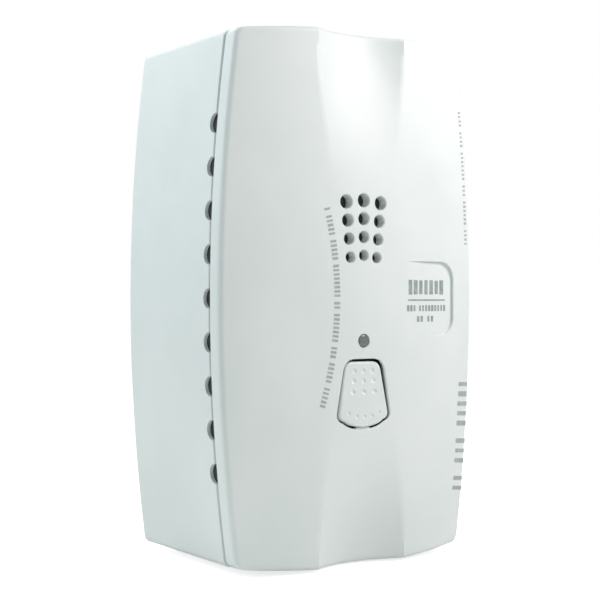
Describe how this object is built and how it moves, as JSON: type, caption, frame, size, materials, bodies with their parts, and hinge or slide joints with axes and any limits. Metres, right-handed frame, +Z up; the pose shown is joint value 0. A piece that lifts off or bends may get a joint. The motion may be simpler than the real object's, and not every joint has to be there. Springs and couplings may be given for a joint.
{
  "type": "carbon monoxide detector",
  "caption": "Wall-mounted carbon monoxide detector in a deep white case with a hinged front cover, sounder grille, status light and hinged test button.",
  "frame": {"origin": "centre of the flat back face that lies against the wall", "axes": "+Y into the wall, square to the back face; +Z up, along the longest extent; +X to the right as seen from the room"},
  "size_m": [0.0768, 0.0501, 0.1306],
  "materials": {
    "case_white": "fine satin moulded ABS, off-white",
    "light_pipe": "smoked translucent acrylic",
    "board": "green solder mask",
    "black_plastic": "matte black moulding",
    "foam": "closed-cell foam",
    "relay_case": "smooth blue moulding",
    "terminal_body": "green nylon",
    "white_part": "plain white moulding",
    "led_lens": "clear tinted lens",
    "steel": "zinc-plated",
    "aluminium": "plain extruded",
    "sensor_can": "drawn can"
  },
  "bodies": {
    "base": {"rear_base": "case_white", "circuit_board": "board", "co_sensor": "sensor_can", "sensor_filter_cap": "white_part", "sounder": "black_plastic", "sounder_gasket": "foam", "status_led": "led_lens", "test_switch": "black_plastic", "alarm_relay": "relay_case", "trouble_relay": "relay_case", "terminal_block": "terminal_body", "terminal_screw_1": "steel", "terminal_screw_2": "steel", "terminal_screw_3": "steel", "terminal_screw_4": "steel", "terminal_screw_5": "steel", "terminal_screw_6": "steel", "main_capacitor": "black_plastic", "filter_capacitor": "black_plastic", "voltage_regulator": "black_plastic", "heat_sink": "aluminium", "microcontroller": "black_plastic", "crystal": "steel", "board_screw_1": "steel", "board_screw_2": "steel", "board_screw_3": "steel", "board_screw_4": "steel"},
    "cover": {"front_cover": "case_white", "led_light_pipe": "light_pipe"},
    "button": {"test_button": "case_white"},
    "plunger": {"switch_plunger": "white_part"}
  },
  "joints": [
    {"name": "cover_swing", "type": "hinge", "parent": "base", "child": "cover", "pos_m": [0, -0.0405, 0.0653], "axis": [-1, 0, 0], "range_deg": [0, 75]},
    {"name": "button_press", "type": "hinge", "parent": "cover", "child": "button", "pos_m": [0, -0.0485, -0.0314], "axis": [-1, 0, 0], "range_deg": [0, 4], "stiffness_Nm_per_rad": 0.15},
    {"name": "plunger_slide", "type": "slide", "parent": "base", "child": "plunger", "axis": [0, 1, 0], "range_m": [0, 0.0008]}
  ],
  "couplings": [
    {"joint": "plunger_slide", "follows": "button_press", "m_per_rad": 0.011}
  ]
}
